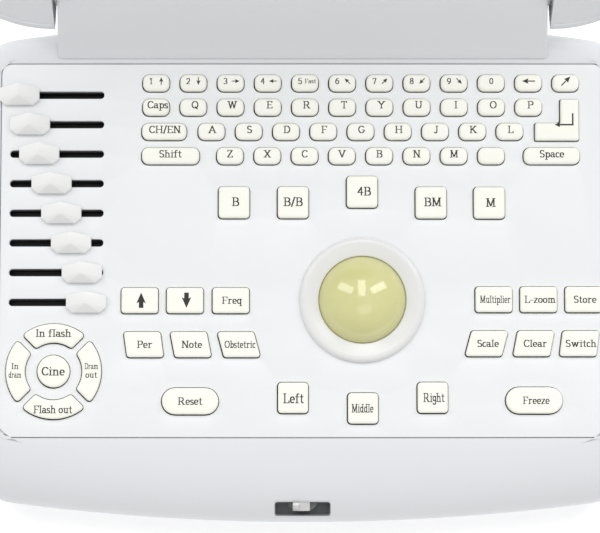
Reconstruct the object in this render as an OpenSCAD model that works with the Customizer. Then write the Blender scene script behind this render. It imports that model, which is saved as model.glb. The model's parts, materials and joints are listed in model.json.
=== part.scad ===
// Portable veterinary ultrasound scanner: a sloped control deck with a folding display lid.
// Millimetres. +X right, +Y away from the user, +Z up; the table is Z = 0.
// "Deck" coordinates are u (right), v (away from the user) and w (out of the key panel),
// measured from the middle of the key panel's front edge.

/* [Base] */
// Width of the base over its sides
base_w = 342; // [338:1:352]
// Tilt of the control deck towards the user, degrees
deck_tilt = 7; // [5:0.5:9]
// Height of the key panel's front edge above the table
deck_h = 42; // [40:0.5:48]
// Distance of the front lip before the key panel
lip_depth = 43; // [41:0.5:46]
// Depth of the base behind the panel's front edge, on the centre line
rear_depth = 217; // [215:0.5:220]
// Wall thickness of the mouldings
wall = 2.8; // [2.4:0.1:3]

/* [Key panel] */
// Width of the key panel
panel_w = 308; // [306:1:310]
// Depth of the key panel
panel_d = 191; // [190:0.5:192]
// Thickness of the key panel
panel_t = 3; // [2.5:0.1:3.2]
// Spacing of the keyboard's keys across the deck
key_pitch = 19.05; // [18.9:0.05:19.1]
// Spacing of the keyboard's rows
row_pitch = 12.53; // [12.4:0.01:12.6]
// Height of a key's top above the panel
key_rise = 2.4; // [2:0.1:2.8]
// Gap round each key in its opening
key_gap = 0.5; // [0.4:0.05:0.6]

/* [Trackball] */
// Diameter of the ball
ball_d = 50.8; // [50:0.1:51.5]
// Position of the ball across the deck
ball_u = 30.4; // [30:0.1:31]
// Position of the ball from the panel's front edge
ball_v = 69.8; // [69:0.1:70.5]
// Depth of the ball's centre below the panel's surface
ball_sink = 11.9; // [11.5:0.1:12.5]

/* [Slide controls] */
// Number of gain slides
slides = 8; // [8:1:8]
// Spacing of the slides
slide_pitch = 15.2; // [15:0.1:15.4]
// Length of each slot in the panel
slot_len = 48; // [47:0.5:49]

/* [Display lid] */
// Width of the lid
lid_w = 344; // [342:1:350]
// Lean of the open lid behind the deck's normal, degrees
lid_lean = 27; // [20:1:35]
// Length of the lid from the hinge axis to its far edge
lid_reach = 264; // [262:0.5:266]
// Radius of the lid's corners by the hinge
lid_corner = 45; // [40:1:48]

/* [Hidden] */

sliver = 0.02;            // thickness of a slice that a hull joins
split_w = -18;            // parting plane of the two case halves, in deck w
floor_z = 4;              // underside of the case above the table
foot_r = 9;
lip_roll = 31;            // how far the front edge's round-over reaches back
side_roll = 11;           // the same at the sides and the rear
front_radius = 1145;      // plan radius of the front edge
rear_radius = 1050;       // plan radius of the rear edge
plan_corner = 26;         // plan radius of the base's corners
screw_spots = [for (u = [-158, 158], v = [-8, 92, 190]) [u, v]];
ledge = 3.2;              // width of the shelf that carries the key panel
key_relief = 0.8;         // the same beside the outermost keys
groove = 0.6;             // shadow gap round the key panel
rear_plate = [210, 32];
rear_plate_z = 27;

// hinge line and lid, in deck v and w
hinge_v = 222;
hinge_w = 12;
barrel_r = 11.5;
neck_w = 251;
neck_foot_v = 193.5;
neck_wall = 2.6;
pin_r = 3;
pin_play = 0.05;
lid_rim = 11.2;           // rim edge in front of the hinge axis, towards the screen side
lid_back = 17;            // back face behind the hinge axis
bezel_c = -4;             // front face of the bezel
lid_gap = 0.8;            // side gap between the lid's ears and the neck
lid_notch = 17;           // start of the lid's middle part from the hinge axis
ear_reach = 24;           // solid corners of the lid, from the hinge axis
ear_top = 10.4;
barrel_clear = 13.2;
hook_reach = 258;
hook_u = 10;
lcd_size = [279, 209, 7.2];
window = [250, 188];

// trackball
ring_r = 32;
ring_bore = 22.3;
cup_r = 29;
roller_r = 3;
roller_len = 12;
axle_r = 1.2;

// slides
slot_w = 3.8;
lever = [4, 1.4];
slot_u = -125.5;
first_slide_v = 174.9;
knob_places = [-144.8, -139.3, -134.4, -128, -122.9, -117.8, -112.2, -109.9];
knob = [20.6, 10.7, 8.6];

// keys
cap_under = -5;
stem_r = 2.2;
stem_under = -8.2;
board_top = -12.5;
board_t = 1.6;
key = [14.2, 9.2, 3.6];
mode_key = [16.4, 16.8, 2];
click_key = [16, 16.2, 2];
block_key = [19.3, 13.6, 1.8];
pill_key = [29.4, 14.1, 7];
first_key_u = -74.9;
first_row_v = 181;
home_key_u = -46.5;
lower_key_u = -37;
ring_place = [-126.2, 33.4];
ring_in = 14.2;
ring_out = 24.5;
ring_key_r = 8.5;
ring_gap = 3;
enter_corners = [[118.5, 151], [141.5, 151], [141.5, 172.8], [131.5, 172.8], [131.5, 160.6], [118.5, 160.6]];

number_row = [for (i = [0:11]) [first_key_u + i * key_pitch, first_row_v, key]];
upper_row = [for (i = [0:10]) [first_key_u + i * key_pitch, first_row_v - row_pitch, key]];
home_row = concat([[-70.65, first_row_v - 2 * row_pitch, [23.4, key.y, key.z]]],
  [for (i = [0:8]) [home_key_u + i * key_pitch, first_row_v - 2 * row_pitch, key]]);
lower_row = concat([[-67.35, first_row_v - 3 * row_pitch, [30, key.y, key.z]]],
  [for (i = [0:7]) [lower_key_u + i * key_pitch, first_row_v - 3 * row_pitch, key]],
  [[127.25, first_row_v - 3 * row_pitch, [29.2, key.y, key.z]]]);
b_mode = [[-34.9, 119.5, mode_key]];
double_b = [[-4.8, 119.5, mode_key]];
four_b = [[30.4, 124.9, mode_key]];
bm_mode = [[65.5, 119.4, mode_key]];
m_mode = [[95.2, 119.3, mode_key]];
left_upper = [for (u = [-82.7, -59.7, -36.4]) [u, 69.4, block_key]];
right_upper = [for (u = [97.2, 119.9, 142.8]) [u, 69.9, block_key]];
left_lower = [[-80.6, 47, 1.9], [-56.7, 47, 2.7], [-32.3, 47, 3.7]];
right_lower = [[93.4, 47.5, -3.7], [117.3, 47.5, -2.7], [140.5, 47.5, -1.9]];
reset_spot = [[-56.9, 18.3, pill_key]];
freeze_spot = [[117.3, 18.7, pill_key]];
left_click = [[-4.8, 20, click_key]];
middle_click = [[30.6, 14.7, click_key]];
right_click = [[65.9, 20.1, click_key]];
plain_keys = concat(number_row, upper_row, home_row, lower_row, b_mode, double_b, four_b, bm_mode, m_mode,
  left_upper, right_upper, reset_spot, freeze_spot, left_click, middle_click, right_click);
slanted_keys = concat(left_lower, right_lower);

// the whole scanner stands with the middle of its box over the origin
front_y = -lip_depth * cos(deck_tilt) - split_w * sin(deck_tilt);
top_v = hinge_v + lid_reach * sin(lid_lean) + lid_back * cos(lid_lean) - 4;
top_w = hinge_w + lid_reach * cos(lid_lean) - lid_back * sin(lid_lean);
back_y = top_v * cos(deck_tilt) - top_w * sin(deck_tilt);
deck_y = -(front_y + back_y) / 2;

// ---- helpers ----

module on_deck() translate([0, deck_y, deck_h]) rotate([deck_tilt, 0, 0]) children();

// lid frame: x across, y from the hinge axis to the far edge, z towards the screen side
module on_lid() on_deck() translate([0, hinge_v, hinge_w]) rotate([90 - lid_lean, 0, 0]) children();

function unit(a) = a / norm(a);
function wrap(a) = a > 180 ? a - 360 : a < -180 ? a + 360 : a;

// arc that rounds corner p between its neighbours a and b
function corner_arc(a, p, b, r, steps = 3) =
  let (to_a = unit(a - p), to_b = unit(b - p), half = acos(to_a * to_b) / 2,
       middle = p + unit(to_a + to_b) * r / sin(half),
       from = p + to_a * r / tan(half) - middle, to = p + to_b * r / tan(half) - middle,
       start = atan2(from.y, from.x), turn = wrap(atan2(to.y, to.x) - start))
  [for (i = [0:steps]) middle + r * [cos(start + turn * i / steps), sin(start + turn * i / steps)]];

function rounded(pts, r) =
  [for (i = [0:len(pts) - 1])
    each corner_arc(pts[(i + len(pts) - 1) % len(pts)], pts[i], pts[(i + 1) % len(pts)], r)];

function box_corners(w, d) = [[-w / 2, -d / 2], [w / 2, -d / 2], [w / 2, d / 2], [-w / 2, d / 2]];
function slanted_corners(w, d, skew) =
  [[(skew - w) / 2, -d / 2], [(skew + w) / 2, -d / 2], [(w - skew) / 2, d / 2], [(-skew - w) / 2, d / 2]];

module slab(w, d, r, t) linear_extrude(t) polygon(rounded(box_corners(w, d), r));

// plan of the base, drawn in by separate amounts at the front, sides and rear
module base_plan(front_in, side_in, rear_in, corner = plan_corner) {
  offset(r = corner, $fn = 32) offset(delta = -corner) intersection() {
    translate([-base_w / 2 + side_in, -lip_depth - 2]) square([base_w - 2 * side_in, 400]);
    translate([0, front_radius - lip_depth + front_in]) circle(front_radius, $fn = 240);
    translate([0, rear_depth - rear_in - rear_radius]) circle(rear_radius, $fn = 240);
  }
}

// domed edge of the deck: an elliptical round-over, drawn in by t all round
module deck_body(t) hull() for (s = [0, 0.4, 0.65, 0.85, 1]) {
  depth = 1 - sqrt(1 - s * s);
  translate([0, 0, split_w + (-split_w - t) * s - (s == 1 ? sliver : 0)]) linear_extrude(sliver)
    base_plan(t + (lip_roll - t) * depth, t + (side_roll - t) * depth, t + (side_roll - t) * depth);
}

module lower_body(t, over = 0) hull() {
  on_deck() translate([0, 0, split_w - sliver + over])
    linear_extrude(sliver) base_plan(t + 0.5, t + 0.5, t + 0.5);
  for (edge = [[0, 9], [3, 4.5]])
    translate([0, deck_y - split_w * sin(deck_tilt), floor_z + t + edge[0]]) linear_extrude(sliver)
      scale([1, cos(deck_tilt)]) base_plan(t + edge[1], t + edge[1], t + edge[1] / 3);
}

// ---- outlines of the keys ----

// each outline grows by g all round when it cuts the key's opening
module key_outline(k, g = 0)
  translate([k[0], k[1]]) polygon(rounded(box_corners(k[2].x + 2 * g, k[2].y + 2 * g), k[2].z + g));
module slanted_outline(k, g = 0)
  translate([k[0], k[1]])
    polygon(rounded(slanted_corners(block_key.x + 2 * g, block_key.y + 2 * g, -k[2]), block_key.z + g));
module enter_outline(g = 0) offset(r = 1 + g, $fn = 12) offset(delta = -1) polygon(enter_corners);

// quarter of the ring, cut off parallel to the diagonals
module ring_outline(turn, g = 0) translate(ring_place) rotate(turn)
  offset(r = 1 + g, $fn = 12) offset(delta = -1) intersection() {
    difference() { circle(ring_out, $fn = 60); circle(ring_in, $fn = 40); }
    translate([ring_gap / sqrt(2), 0]) polygon([[0, 0], [40, -40], [40, 40]]);
  }

module all_openings(g) {
  for (k = plain_keys) key_outline(k, g);
  for (k = slanted_keys) slanted_outline(k, g);
  enter_outline(g);
  for (turn = [0:90:270]) ring_outline(turn, g);
}

// a key: cap with an eased top edge, on a round stem
module keycap() {
  ease = 0.7;
  translate([0, 0, cap_under]) linear_extrude(key_rise - ease - cap_under) children();
  translate([0, 0, key_rise - ease]) linear_extrude(ease) offset(delta = -0.6) children();
}
module stem(spot) translate([spot[0], spot[1], stem_under])
  cylinder(h = cap_under - stem_under, r = stem_r, $fn = 32);

module plain_key_row(row) color("ivory") on_deck() {
  for (k = row) union() { keycap() key_outline(k); stem(k); }
}
module slanted_key_row(row) color("ivory") on_deck() {
  for (k = row) union() { keycap() slanted_outline(k); stem(k); }
}

// ---- case ----

module latch_pocket() translate([-14.2, -39.5, -15]) cube([28.4, 7, 30]);
module neck_passage() translate([-60, 198, -8]) cube([120, 10, 10]);

module top_cover() color("whitesmoke") on_deck() difference() {
  deck_body(0);
  difference() {
    translate([0, 0, -sliver]) deck_body(wall);
    // what stays of the inside: walls round the latch pocket, the panel's shelf and the screw bosses
    translate([-17, -45, -18.5]) cube([34, 15, 18]);
    translate([0, panel_d / 2, -6]) slab(panel_w + 8, panel_d + 8, 7, 5);
    for (s = screw_spots) translate([s.x, s.y, -20]) cylinder(h = 20, r = 4.6, $fn = 32);
  }
  // the screws stand upright, so their holes lean against the deck
  for (s = screw_spots) translate([s.x, s.y, split_w]) rotate([-deck_tilt, 0, 0])
    translate([0, 0, -4]) cylinder(h = 15, r = 1.6, $fn = 32);
  translate([0, panel_d / 2, -panel_t]) slab(panel_w + 2 * groove, panel_d + 2 * groove, 5, panel_t + 1);
  translate([0, panel_d / 2, -10]) slab(panel_w - 2 * ledge, panel_d - 2 * ledge, 3, 10);
  // room for the outermost keys on both sides
  translate([-panel_w / 2 + key_relief, 17, -10]) cube([panel_w - 2 * key_relief, 62, 10]);
  latch_pocket();
  translate([-6, -33, -9]) cube([16, 5, 4.4]);
  neck_passage();
}

module base_shell() color("whitesmoke") difference() {
  union() {
    difference() {
      lower_body(0);
      difference() {
        translate([0, 0, 1]) lower_body(wall, 4);
        // frame round the rear panel
        translate([-rear_plate.x / 2 - 3, deck_y + rear_depth - 10, floor_z])
          cube([rear_plate.x + 6, 30, 60]);
      }
    }
    for (s = screw_spots) at_screw(s, floor_z + 3)
      cylinder(h = pillar_top(s.y) - floor_z - 3, r = 4.6, $fn = 32);
  }
  on_deck() translate([-200, -60, split_w]) cube([400, 320, 60]);
  for (s = screw_spots) {
    at_screw(s, 0) cylinder(h = 60, r = 1.6, $fn = 32);
    at_screw(s, 0) cylinder(h = head_z + 2.4, r = 3.4, $fn = 32);
  }
  // feet sit in shallow round recesses
  for (x = [-130, 130], y = [10, 170]) translate([x, deck_y + y, 0])
    cylinder(h = floor_z + 1, r = foot_r, $fn = 64);
  translate([-rear_plate.x / 2, deck_y + rear_depth - 15, rear_plate_z - rear_plate.y / 2])
    cube([rear_plate.x, 40, rear_plate.y]);
  // cooling slots in both side walls
  for (side = [-1, 1], i = [0:11])
    translate([side * base_w / 2, deck_y + 108 + i * 6.5, 21]) cube([30, 2.4, 13], center = true);
}

head_z = 6.6;             // underside of the screw heads
function pillar_top(v) = deck_h + v * sin(deck_tilt) + split_w * cos(deck_tilt) - 0.8;
module at_screw(s, z)
  translate([s.x, deck_y + s.y * cos(deck_tilt) - split_w * sin(deck_tilt), z]) children();

module case_screws() color("silver") for (s = screw_spots) at_screw(s, head_z) difference() {
  union() {
    cylinder(h = 2.4, r = 3, $fn = 32);
    translate([0, 0, 2]) cylinder(h = pillar_top(s.y) - head_z + 5, r = 1.4, $fn = 32);
  }
  translate([0, 0, -0.1]) cylinder(h = 1.4, r = 1.2, $fn = 6);
}

module rubber_feet() color("dimgray") for (x = [-130, 130], y = [10, 170])
  translate([x, deck_y + y, 0]) union() {
    cylinder(h = 1, r1 = foot_r - 1, r2 = foot_r, $fn = 64);
    translate([0, 0, 1]) cylinder(h = floor_z, r = foot_r, $fn = 64);
  }

module key_panel() color("white") on_deck() difference() {
  translate([0, panel_d / 2, -panel_t]) slab(panel_w, panel_d, 4.6, panel_t);
  translate([0, 0, -5]) linear_extrude(10) all_openings(key_gap);
  translate([ring_place.x, ring_place.y, -5]) cylinder(h = 10, r = ring_key_r + key_gap, $fn = 48);
  for (i = [0:slides - 1]) translate([slot_u, first_slide_v - i * slide_pitch, -5])
    slab(slot_len, slot_w, slot_w / 2 - 0.01, 10);
  translate([ball_u, ball_v, -5]) cylinder(h = 10, r = ring_r - 3, $fn = 96);
  // shallow round recess that the ring of keys lies in
  translate([ring_place.x, ring_place.y, -0.4]) cylinder(h = 1, r = ring_in + 1, $fn = 96);
}

function on_barrel(angle, r) = [hinge_v + r * cos(angle), hinge_w + r * sin(angle)];
// the front slope touches the barrel at this angle
rise = atan2(hinge_w, hinge_v - neck_foot_v)
  + asin(barrel_r / norm([hinge_v - neck_foot_v, hinge_w]));
function neck_section(r, foot, under) = concat([[foot, under]],
  [for (a = [90 + rise:-8:-90]) on_barrel(a, r)], [[hinge_v - 7, under]]);

module neck_cover() color("whitesmoke") on_deck() difference() {
  rotate([90, 0, 90]) translate([0, 0, -neck_w / 2]) linear_extrude(neck_w)
    polygon(neck_section(barrel_r, neck_foot_v, 0));
  rotate([90, 0, 90]) translate([0, 0, -neck_w / 2 + 12]) linear_extrude(neck_w - 24)
    polygon(neck_section(barrel_r - neck_wall, neck_foot_v + 5, -1));
  translate([-neck_w / 2 - 1, hinge_v, hinge_w]) rotate([0, 90, 0])
    cylinder(h = neck_w + 2, r = pin_r, $fn = 48);
}

module hinge_pins() color("silver") on_deck() for (side = [-1, 1])
  translate([side * neck_w / 2, hinge_v, hinge_w]) rotate([0, 90, 0])
    cylinder(h = 30, r = pin_r, center = true, $fn = 48);

// ---- rear connectors ----

rear_face_y = deck_y + rear_depth - 6;
socket_spots = [30, 66];
usb_spots = [4, 24];
video_spot = 14;

module at_rear(x, z) translate([x, rear_face_y, rear_plate_z + z]) rotate([90, 0, 180]) children();

module rear_panel() color("gray") difference() {
  at_rear(0, 0) translate([0, 0, -2]) slab(rear_plate.x - 0.6, rear_plate.y - 0.6, 1.5, 2);
  at_rear(78, 0) translate([-15, -11, -5]) cube([30, 22, 10]);
  for (x = socket_spots) at_rear(-x, 0) translate([0, 0, -5]) cylinder(h = 10, r = 12.2, $fn = 64);
  for (x = usb_spots) at_rear(x, -7) translate([-7, -3.2, -5]) cube([14, 6.4, 10]);
  at_rear(video_spot, 6) translate([-9.2, -5, -5]) cube([18.4, 10, 10]);
}

module probe_sockets() color("silver") for (x = socket_spots) at_rear(-x, 0) union() {
  difference() {
    translate([0, 0, -14]) cylinder(h = 18, r = 12, $fn = 64);
    translate([0, 0, -10]) cylinder(h = 20, r = 9.5, $fn = 64);
  }
  for (a = [0:30:330]) rotate(a) translate([6, 0, -10.5]) cylinder(h = 5, r = 0.6, $fn = 16);
  difference() {
    cylinder(h = 1.6, r = 14.5, $fn = 64);
    translate([0, 0, -1]) cylinder(h = 4, r = 12, $fn = 64);
  }
}

module signal_ports() color("silver") {
  for (x = usb_spots) at_rear(x, -7) translate([0, 0, -14]) difference() {
    translate([-6.9, -3.1, 0]) cube([13.8, 6.2, 14.4]);
    translate([-6.3, -2.5, 2]) cube([12.6, 5, 14]);
  }
  at_rear(video_spot, 6) translate([0, 0, -10]) difference() {
    slab(18, 9.6, 3, 12);
    translate([0, 0, 5]) slab(16.4, 8, 2.4, 10);
  }
}

module power_inlet() color("dimgray") at_rear(78, 0) difference() {
  union() {
    translate([-14.8, -10.8, -24]) cube([29.6, 21.6, 24]);
    translate([0, 0, 0]) slab(33, 25, 2, 1.5);
  }
  translate([-13, -9, -18]) cube([17, 18, 30]);
  translate([5.8, -9, -10]) cube([7.6, 18, 20]);
}

module power_rocker() color("dimgray") at_rear(78, 0) translate([6.2, 0, -5.5]) rotate([90, 0, 90])
  linear_extrude(6.8) rotate(9)
    polygon([[-6.5, 3.2], [0, 2], [6.5, 3.2], [6.5, 0.5], [3, -2.5], [-3, -2.5], [-6.5, 0.5]]);

// ---- inside the base ----

module key_board() color("green") on_deck() {
  difference() {
    translate([0, 0, board_top - board_t]) linear_extrude(board_t)
      polygon([[-148, 6], [148, 6], [148, 186], [-94, 186], [-94, 61], [-148, 61]]);
    translate([ball_u, ball_v, -20]) cylinder(h = 20, r = cup_r + 1.5, $fn = 64);
    translate([ball_u - roller_len / 2 - 4, ball_v, -20]) cube([roller_len + 8, roller_v - ball_v + 8, 20]);
  }
  for (k = concat(plain_keys, slanted_keys, ring_spots)) translate([k[0], k[1], board_top])
    cylinder(h = 2, r = 2.5, $fn = 24);
}
enter_stem = [132, 156];
ring_spots = concat([enter_stem, ring_place],
  [for (a = [0:90:270]) ring_stem(a)]);
function ring_stem(a) = ring_place + 19.4 * [cos(a), sin(a)];

module slide_pots() color("gray") on_deck() for (i = [0:slides - 1])
  translate([slot_u, first_slide_v - i * slide_pitch, -11]) difference() {
    translate([-25, -4.5, 0]) cube([54, 9, 7.8]);
    translate([-slot_len / 2, -1.2, 1.5]) cube([slot_len, 2.4, 10]);
  }

module main_board() color("green") translate([-135, deck_y + 108, 16]) {
  cube([185, 76, 1.6]);
  for (x = [18:32:160]) translate([x, 14, 1.6]) cube([20, 20, 2]);
  for (x = [12:24:160]) translate([x, 52, 1.6]) cube([14, 10, 2]);
}

module power_module() color("silver") translate([74, deck_y + 102, 9]) difference() {
  cube([76, 76, 26]);
  for (i = [0:6]) translate([10 + i * 9, 12, 24]) cube([3, 52, 4]);
}

module battery_pack() color("black") translate([-135, deck_y + 22, 8.2]) cube([118, 58, 14]);

// ---- trackball ----

module trackball_ring() color("white") on_deck() translate([ball_u, ball_v, 0]) rotate_extrude($fn = 128)
  polygon([[ring_bore + 1.2, -1], [ring_bore + 0.6, 0], [ring_bore, 0.9], [ring_bore + 0.8, 1.3],
    [27.5, 2.7], [29.6, 2.9], [31.2, 2.2], [ring_r, 0.9], [ring_r, 0.02], [ring_r - 3.2, 0.02],
    [ring_r - 3.2, -3], [25.6, -3]]);

module trackball() color("khaki") on_deck() translate([ball_u, ball_v, -ball_sink])
  sphere(d = ball_d, $fn = 128);

// the roller touches the ball from behind, level with the ball's centre
roller_v = ball_v + ball_d / 2 + roller_r + 0.05;

module trackball_housing() color("black") on_deck() difference() {
  translate([ball_u, ball_v, -39.2]) cylinder(h = 32.7, r = cup_r, $fn = 96);
  translate([ball_u, ball_v, -ball_sink]) sphere(d = ball_d + 1, $fn = 128);
  translate([ball_u, ball_v, -ball_sink]) cylinder(h = 20, d = ball_d + 1, $fn = 96);
  translate([ball_u - roller_len / 2 - 1, roller_v - roller_r - 1, -ball_sink - 5])
    cube([roller_len + 2, 12, 20]);
  translate([ball_u - roller_len / 2 - 3, roller_v, -ball_sink]) rotate([0, 90, 0])
    cylinder(h = roller_len + 6, r = axle_r + 0.05, $fn = 32);
}

module ball_roller() color("silver") on_deck() translate([ball_u, roller_v, -ball_sink]) rotate([0, 90, 0]) {
  cylinder(h = roller_len, r = roller_r, center = true, $fn = 48);
  cylinder(h = roller_len + 5, r = axle_r, center = true, $fn = 32);
}

// ---- controls ----

module slider_knob(n) color("white") on_deck()
  translate([knob_places[n - 1], first_slide_v - (n - 1) * slide_pitch, 0]) {
    hull() {
      translate([-knob.x / 2, -2, 0.8]) cube([knob.x, knob.y / 2 + 2, 3]);
      translate([-knob.x / 2 + 2.2, -knob.y / 2, 0.8]) cube([knob.x - 4.4, 1, 2]);
      translate([-0.6, 0.6, 0.8]) cube([1.2, knob.y / 2 - 0.6, knob.z - 0.8]);
    }
    translate([-lever.x / 2, -lever.y / 2, -8.5]) cube([lever.x, lever.y, 10]);
  }
module slider_knob_1() slider_knob(1);
module slider_knob_2() slider_knob(2);
module slider_knob_3() slider_knob(3);
module slider_knob_4() slider_knob(4);
module slider_knob_5() slider_knob(5);
module slider_knob_6() slider_knob(6);
module slider_knob_7() slider_knob(7);
module slider_knob_8() slider_knob(8);

module number_row_keys() plain_key_row(number_row);
module upper_row_keys() plain_key_row(upper_row);
module home_row_keys() plain_key_row(home_row);
module lower_row_keys() plain_key_row(lower_row);
module enter_key() color("ivory") on_deck() { keycap() enter_outline(); stem(enter_stem); }
module b_mode_key() plain_key_row(b_mode);
module double_b_key() plain_key_row(double_b);
module four_b_key() plain_key_row(four_b);
module bm_mode_key() plain_key_row(bm_mode);
module m_mode_key() plain_key_row(m_mode);
module left_upper_keys() plain_key_row(left_upper);
module left_lower_keys() slanted_key_row(left_lower);
module right_upper_keys() plain_key_row(right_upper);
module right_lower_keys() slanted_key_row(right_lower);
module reset_key() plain_key_row(reset_spot);
module freeze_key() plain_key_row(freeze_spot);
module left_click_key() plain_key_row(left_click);
module middle_click_key() plain_key_row(middle_click);
module right_click_key() plain_key_row(right_click);

module ring_key(turn) color("ivory") on_deck() { keycap() ring_outline(turn); stem(ring_stem(turn)); }
module ring_right_key() ring_key(0);
module ring_top_key() ring_key(90);
module ring_left_key() ring_key(180);
module ring_bottom_key() ring_key(270);
module ring_centre_key() color("ivory") on_deck() {
  keycap() translate(ring_place) circle(ring_key_r, $fn = 48);
  stem(ring_place);
}

// slide catch in the front pocket; it moves sideways into the hook's window
module latch_catch() color("silver") on_deck() {
  translate([-5, -37, -8.2]) cube([8.7, 7, 2.8]);
  translate([-5, -36, -8.2]) cube([3.4, 2.8, 5.4]);
}

// ---- lid ----

// plan of the lid; the far edge follows the curve of the base's front edge
module lid_plan(inset) {
  hinge_side = -lid_rim + inset;
  intersection() {
    translate([0, lid_reach - inset - front_radius]) circle(front_radius, $fn = 240);
    translate([-lid_w / 2 + inset, hinge_side])
      offset(r = lid_corner - inset, $fn = 40) offset(delta = inset - lid_corner)
        square([lid_w - 2 * inset, 400]);
    translate([-lid_w / 2 + inset, hinge_side]) offset(r = 26, $fn = 32) offset(delta = -26)
      square([lid_w - 2 * inset, lid_reach + lid_rim - 2 * inset - 8]);
  }
}

module lid_slice(z, inset) translate([0, 0, z]) linear_extrude(sliver) lid_plan(inset);

module lid_back_cover() color("whitesmoke") on_lid() difference() {
  union() {
    difference() {
      hull() {
        lid_slice(lid_rim - sliver, 2.2);
        lid_slice(lid_rim - 2.5, 0.3);
        translate([0, 0, -9]) linear_extrude(lid_rim + 4) lid_plan(0);
        lid_slice(-14, 3);
        lid_slice(-lid_back, 12);
      }
      translate([0, 0, -lid_back + wall + 0.8]) linear_extrude(60) lid_plan(4.2);
    }
    // the solid corners beside the neck turn on the hinge pins
    translate([0, 0, -15]) linear_extrude(15 + ear_top) intersection() {
      lid_plan(0.3);
      for (side = [-1, 1]) translate([side * (neck_w / 2 + lid_gap + 30) - 30, -lid_rim])
        square([60, lid_rim + ear_reach]);
    }
  }
  // the middle of the hinge side is cut away for the neck; the back wall laps over its barrel
  translate([-neck_w / 2 - lid_gap, -30, -barrel_clear]) cube([neck_w + 2 * lid_gap, 30 + lid_notch, 60]);
  translate([-neck_w / 2 - lid_gap, -30, -40]) cube([neck_w + 2 * lid_gap, 28, 60]);
  rotate([0, 90, 0]) cylinder(h = neck_w + 36, r = pin_r + pin_play, center = true, $fn = 48);
}

module lid_bezel() color("gainsboro") on_lid() difference() {
  translate([0, 0, bezel_c - 2]) linear_extrude(2) difference() {
    lid_plan(4.4);
    translate([-lid_w / 2, -30]) square([lid_w, 30 + ear_reach + 0.4]);
  }
  translate([0, 140, bezel_c - 3]) slab(window.x, window.y, 2, 5);
  // small round opening for the power lamp
  translate([0, 32, bezel_c - 3]) cylinder(h = 5, r = 1.5, $fn = 24);
}

module lcd_module() color("black") on_lid() translate([0, 140, bezel_c - 2 - lcd_size.z])
  translate([-lcd_size.x / 2, -lcd_size.y / 2, 0]) cube(lcd_size);

module lid_hook() color("silver") on_lid() translate([hook_u, hook_reach, 0]) difference() {
  translate([-3, -1.5, bezel_c]) cube([6, 3, 26.4]);
  translate([-4, -3, 16.8]) cube([5, 6, 4.2]);
}

module lid_bumpers() color("dimgray") on_lid() for (x = [-150, 150])
  translate([x, 244, bezel_c]) union() {
    cylinder(h = 12, r = 3.2, $fn = 32);
    translate([0, 0, 12]) cylinder(h = 2.6, r1 = 3.2, r2 = 2.4, $fn = 32);
  }

base_shell();
top_cover();
key_panel();
neck_cover();
rear_panel();
rubber_feet();
case_screws();
key_board();
slide_pots();
main_board();
power_module();
battery_pack();
trackball_ring();
trackball_housing();
trackball();
ball_roller();
probe_sockets();
signal_ports();
power_inlet();
power_rocker();
hinge_pins();
latch_catch();
lid_back_cover();
lid_bezel();
lcd_module();
lid_hook();
lid_bumpers();
slider_knob_1();
slider_knob_2();
slider_knob_3();
slider_knob_4();
slider_knob_5();
slider_knob_6();
slider_knob_7();
slider_knob_8();
number_row_keys();
upper_row_keys();
home_row_keys();
lower_row_keys();
enter_key();
b_mode_key();
double_b_key();
four_b_key();
bm_mode_key();
m_mode_key();
left_upper_keys();
left_lower_keys();
right_upper_keys();
right_lower_keys();
reset_key();
freeze_key();
left_click_key();
middle_click_key();
right_click_key();
ring_top_key();
ring_right_key();
ring_bottom_key();
ring_left_key();
ring_centre_key();
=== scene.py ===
"""Looks of a portable veterinary ultrasound scanner: shells, keys, legends, ball and finishes."""
import bpy
import bmesh
import json
import math
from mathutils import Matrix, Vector
from mathutils.geometry import convex_hull_2d


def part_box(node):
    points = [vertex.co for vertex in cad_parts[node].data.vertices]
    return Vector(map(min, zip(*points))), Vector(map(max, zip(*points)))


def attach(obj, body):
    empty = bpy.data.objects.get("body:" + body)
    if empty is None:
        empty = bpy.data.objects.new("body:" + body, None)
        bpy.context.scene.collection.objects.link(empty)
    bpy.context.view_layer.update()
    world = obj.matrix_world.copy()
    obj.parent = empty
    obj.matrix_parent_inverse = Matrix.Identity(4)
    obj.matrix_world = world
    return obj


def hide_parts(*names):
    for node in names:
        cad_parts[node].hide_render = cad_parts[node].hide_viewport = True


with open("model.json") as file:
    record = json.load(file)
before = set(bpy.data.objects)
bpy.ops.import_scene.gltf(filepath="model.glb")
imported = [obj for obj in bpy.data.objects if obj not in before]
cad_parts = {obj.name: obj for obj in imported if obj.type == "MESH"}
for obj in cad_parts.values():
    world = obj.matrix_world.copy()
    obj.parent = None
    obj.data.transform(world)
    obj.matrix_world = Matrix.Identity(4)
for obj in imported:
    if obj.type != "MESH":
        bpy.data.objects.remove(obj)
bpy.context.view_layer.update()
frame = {"record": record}

MM = 0.001

# ---------------------------------------------------------------- places
# The deck has its own axes: u to the right, v away from the user, w out of the key panel.
joints = {joint["name"]: joint for joint in frame["record"]["behaviour"]["joints"]}
DECK_W = Vector(joints["reset_press"]["axis"]).normalized()
DECK_U = Vector((1, 0, 0))
DECK_V = DECK_W.cross(DECK_U)
HINGE_V, HINGE_W = 222, 12
HINGE = Vector(joints["lid_hinge"]["pos_m"])
DECK_ORIGIN = HINGE - (DECK_V * HINGE_V + DECK_W * HINGE_W) * MM
PANEL_W, PANEL_D, PANEL_T = 308, 191, 3
LIP, REAR = 43, 217
SPLIT = -18
BALL_U, BALL_V, BALL_SINK, BALL_R = 30.4, 69.8, 11.9, 25.4
RING_U, RING_V = -126.2, 33.4
SLOTS, SLOT_U, SLOT_V, SLOT_PITCH = 8, -125.5, 174.9, 15.2
KEY_GAP = 0.1           # from a key's nominal outline to the edge of its opening
CAP_IN = 0.4            # from a key's nominal outline to the side of its cap
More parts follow.
